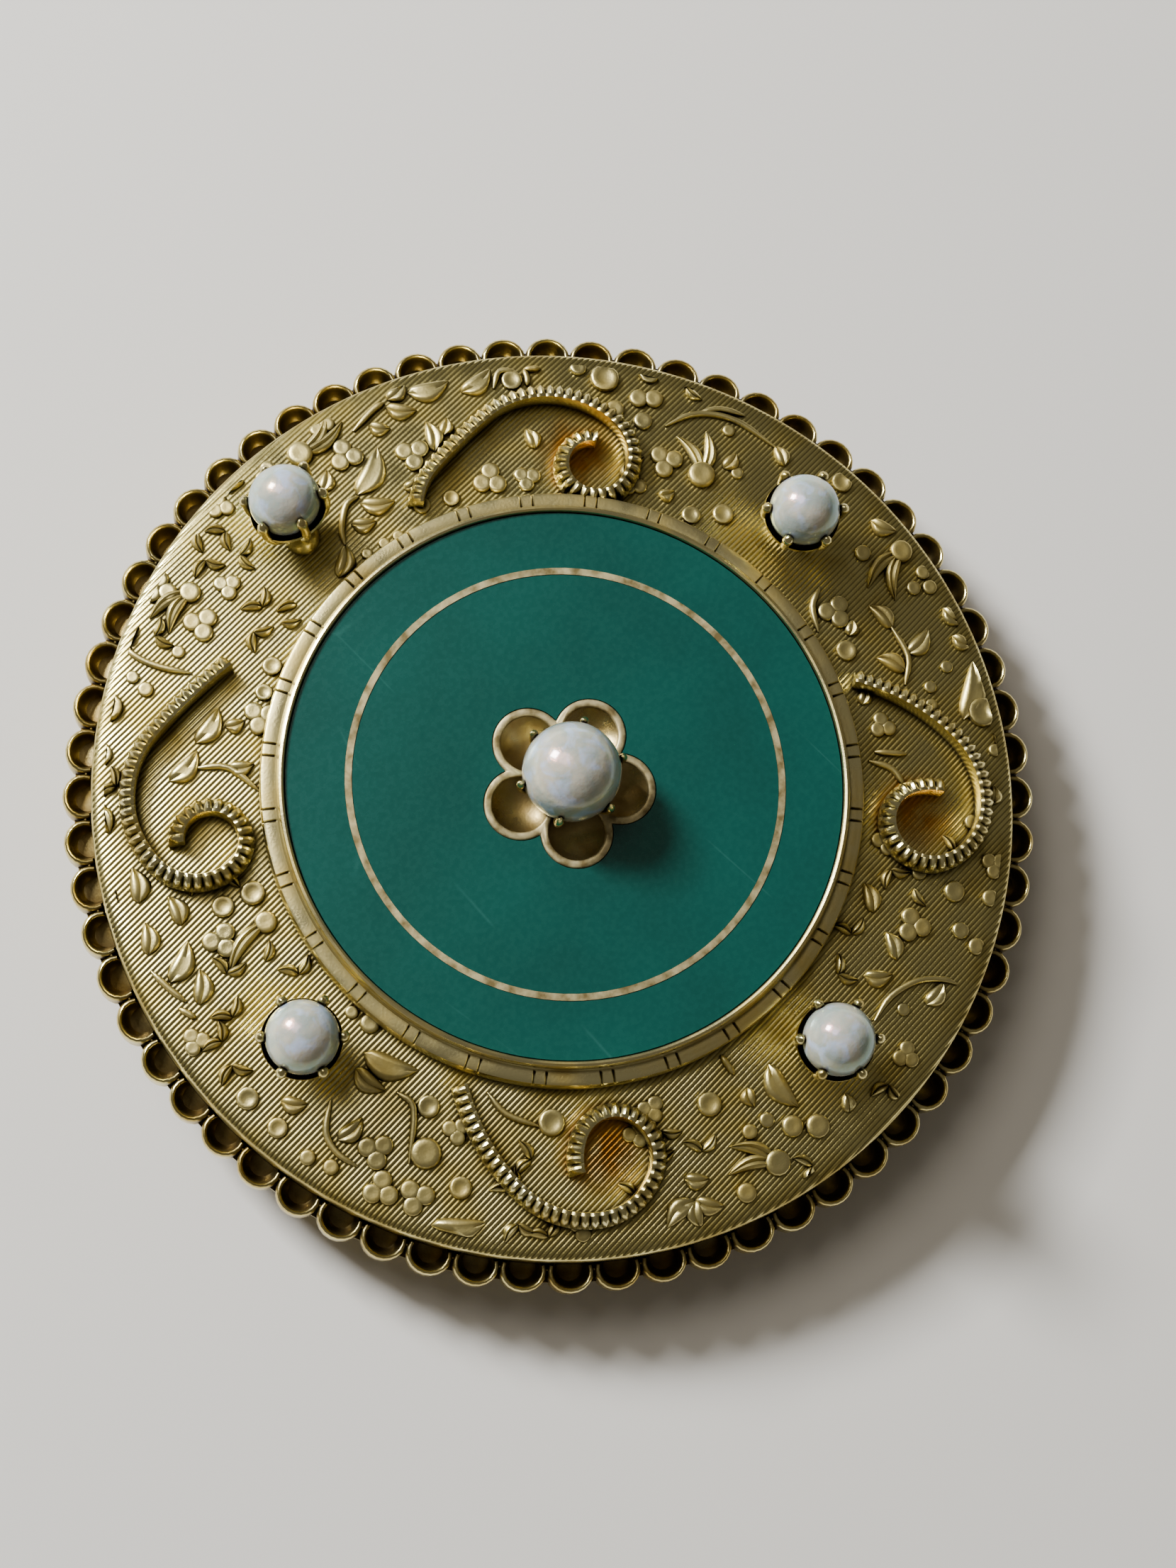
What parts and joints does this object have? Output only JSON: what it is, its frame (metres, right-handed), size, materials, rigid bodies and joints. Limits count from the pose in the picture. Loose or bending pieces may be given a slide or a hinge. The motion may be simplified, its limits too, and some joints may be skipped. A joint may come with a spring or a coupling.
{
  "type": "brooch locket",
  "caption": "Round domed gilt brooch locket with enamel centre, pearls, scalloped border, hinged glazed back, pin and fold-away bail.",
  "frame": {"origin": "centre of the round outline, on the surface that the back fittings rest on", "axes": "+Z out of the enamelled front, +Y towards the leaning top pearl, which is up as worn, +X to the right seen from the front"},
  "size_m": [0.044, 0.044, 0.0112],
  "materials": {
    "gilt": "die-struck and gilt brass, worn, with dark tarnish in the hollows",
    "enamel": "glossy deep teal vitreous enamel",
    "inlay": "matte old gold wire set flush",
    "pearl": "satin pearl with a soft bluish lustre",
    "card": "plain aged card",
    "crystal": "clear polished glass",
    "steel": "drawn steel wire"
  },
  "bodies": {
    "brooch": {"back_plate": "gilt", "scalloped_border": "gilt", "front_plate": "gilt", "enamel_bezel": "gilt", "plaque_backing": "gilt", "enamel_plaque": "enamel", "gold_line_ring": "inlay", "flower_rim": "inlay", "flower_petals": "gilt", "centre_setting": "gilt", "centre_pearl": "pearl", "top_setting": "gilt", "right_setting": "gilt", "bottom_setting": "gilt", "left_setting": "gilt", "top_pearl": "pearl", "right_pearl": "pearl", "bottom_pearl": "pearl", "left_pearl": "pearl", "upper_left_scroll": "gilt", "upper_right_scroll": "gilt", "lower_left_scroll": "gilt", "lower_right_scroll": "gilt", "locket_case": "gilt", "keepsake_card": "card", "frame_knuckles": "gilt", "frame_hinge_pin": "steel", "pin_bracket": "gilt", "pin_rivet": "steel", "pin_catch": "gilt", "bail_knuckles": "gilt", "bail_pin": "steel"},
    "locket_frame": {"glass_frame": "gilt", "crystal": "crystal", "crystal_retainer": "gilt"},
    "brooch_pin": {"pin_stem": "steel"},
    "bail": {"bail": "gilt"}
  },
  "joints": [
    {"name": "frame_hinge", "type": "hinge", "parent": "brooch", "child": "locket_frame", "pos_m": [-0.0102, -0.003, 0.0011], "axis": [0, 1, 0], "range_deg": [0, 120]},
    {"name": "pin_hinge", "type": "hinge", "parent": "brooch", "child": "brooch_pin", "pos_m": [-0.014, 0.0105, 0.0012], "axis": [0, 1, 0], "range_deg": [0, 75]},
    {"name": "bail_hinge", "type": "hinge", "parent": "brooch", "child": "bail", "pos_m": [0, 0.0182, 0.0016], "axis": [1, 0, 0], "range_deg": [0, 180]}
  ]
}
